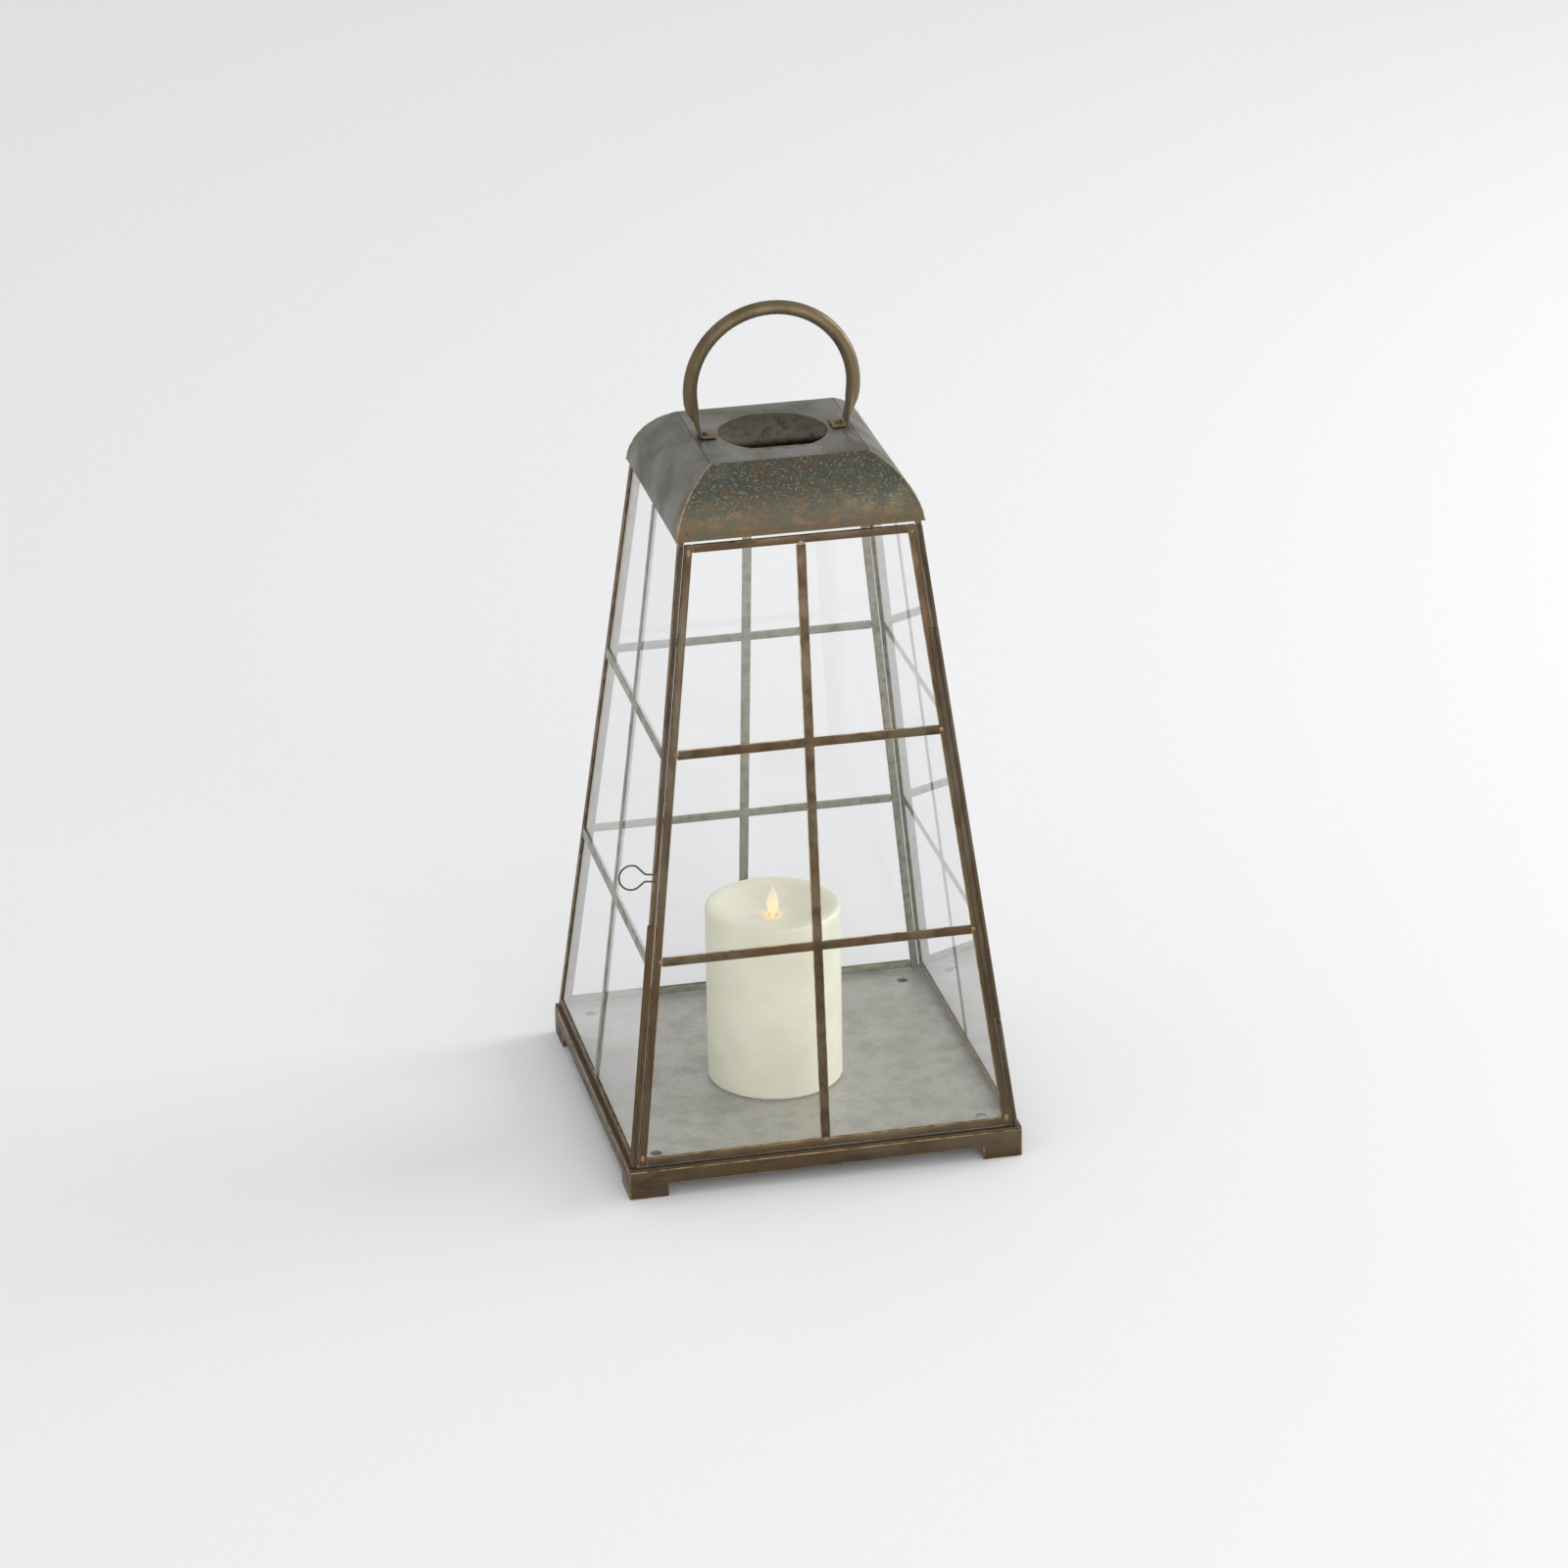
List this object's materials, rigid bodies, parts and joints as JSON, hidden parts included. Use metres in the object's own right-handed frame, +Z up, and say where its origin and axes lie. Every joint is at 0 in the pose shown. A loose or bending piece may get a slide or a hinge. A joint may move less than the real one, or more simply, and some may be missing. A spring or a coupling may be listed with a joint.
{
  "type": "candle lantern",
  "caption": "Tapered four-sided glass lantern in patinated metal with a hinged door, curved vented roof, loop handle, wire latch and a flameless pillar candle inside",
  "frame": {"origin": "centre of the square base at the level the feet stand on", "axes": "+Z up, the door faces -Y, the door's hinge is on +X and the wire latch on -X"},
  "size_m": [0.26, 0.26, 0.5534],
  "materials": {
    "frame_bronze": "dark bronze patina, worn to gold on the edges",
    "roof_patina": "mottled olive, brown and verdigris patina, satin",
    "handle_brass": "satin aged brass tube",
    "wire_brass": "aged drawn wire",
    "floor_zinc": "dull mottled zinc-grey sheet",
    "clear_glass": "clear flat glass",
    "candle_wax": "smooth ivory wax",
    "candle_base_plastic": "plain moulded plastic",
    "flame_paddle": "translucent moulded flame, lit warm from its foot",
    "pivot_steel": "plain steel"
  },
  "bodies": {
    "lantern": {"base_skirt_front": "frame_bronze", "base_skirt_right": "frame_bronze", "base_skirt_back": "frame_bronze", "base_skirt_left": "frame_bronze", "floor_plate": "floor_zinc", "wall_right_stile_left": "frame_bronze", "wall_right_stile_right": "frame_bronze", "wall_right_rail_bottom": "frame_bronze", "wall_right_rail_top": "frame_bronze", "wall_right_glass": "clear_glass", "wall_right_bars": "frame_bronze", "wall_back_stile_left": "frame_bronze", "wall_back_stile_right": "frame_bronze", "wall_back_rail_bottom": "frame_bronze", "wall_back_rail_top": "frame_bronze", "wall_back_glass": "clear_glass", "wall_back_bars": "frame_bronze", "wall_left_stile_left": "frame_bronze", "wall_left_stile_right": "frame_bronze", "wall_left_rail_bottom": "frame_bronze", "wall_left_rail_top": "frame_bronze", "wall_left_glass": "clear_glass", "wall_left_bars": "frame_bronze", "hinge_knuckle_upper": "frame_bronze", "hinge_knuckle_lower": "frame_bronze", "hinge_pin": "wire_brass", "latch_tube": "frame_bronze", "corner_tube_lower": "frame_bronze", "roof_front": "roof_patina", "roof_right": "roof_patina", "roof_back": "roof_patina", "roof_left": "roof_patina", "roof_cap": "roof_patina", "handle": "handle_brass", "handle_rivet_left": "handle_brass", "handle_rivet_right": "handle_brass"},
    "door": {"door_stile_left": "frame_bronze", "door_stile_right": "frame_bronze", "door_rail_bottom": "frame_bronze", "door_rail_top": "frame_bronze", "door_glass": "clear_glass", "door_bars": "frame_bronze", "door_hinge_knuckle": "frame_bronze"},
    "latch": {"latch_wire": "wire_brass"},
    "candle": {"candle_body": "candle_wax", "candle_base_cap": "candle_base_plastic", "candle_pivot_wire": "pivot_steel"},
    "flame": {"candle_flame": "flame_paddle", "candle_flame_weight": "pivot_steel"}
  },
  "joints": [
    {"name": "door_hinge", "type": "hinge", "parent": "lantern", "child": "door", "pos_m": [0.10159, -0.10489, 0.22], "axis": [-0.121, 0.121, 0.9853], "range_deg": [0, 115]},
    {"name": "latch_turn", "type": "hinge", "parent": "lantern", "child": "latch", "pos_m": [-0.10159, -0.10489, 0.22], "axis": [0.121, 0.121, 0.9853], "range_deg": [0, 172]},
    {"name": "candle_lift", "type": "slide", "parent": "lantern", "child": "candle", "axis": [0, 0, 1], "range_m": [0, 0.12]},
    {"name": "flame_sway", "type": "hinge", "parent": "candle", "child": "flame", "pos_m": [-0.0075, -0.01, 0.1322], "axis": [1, 0, 0], "range_deg": [-6, 6]}
  ]
}
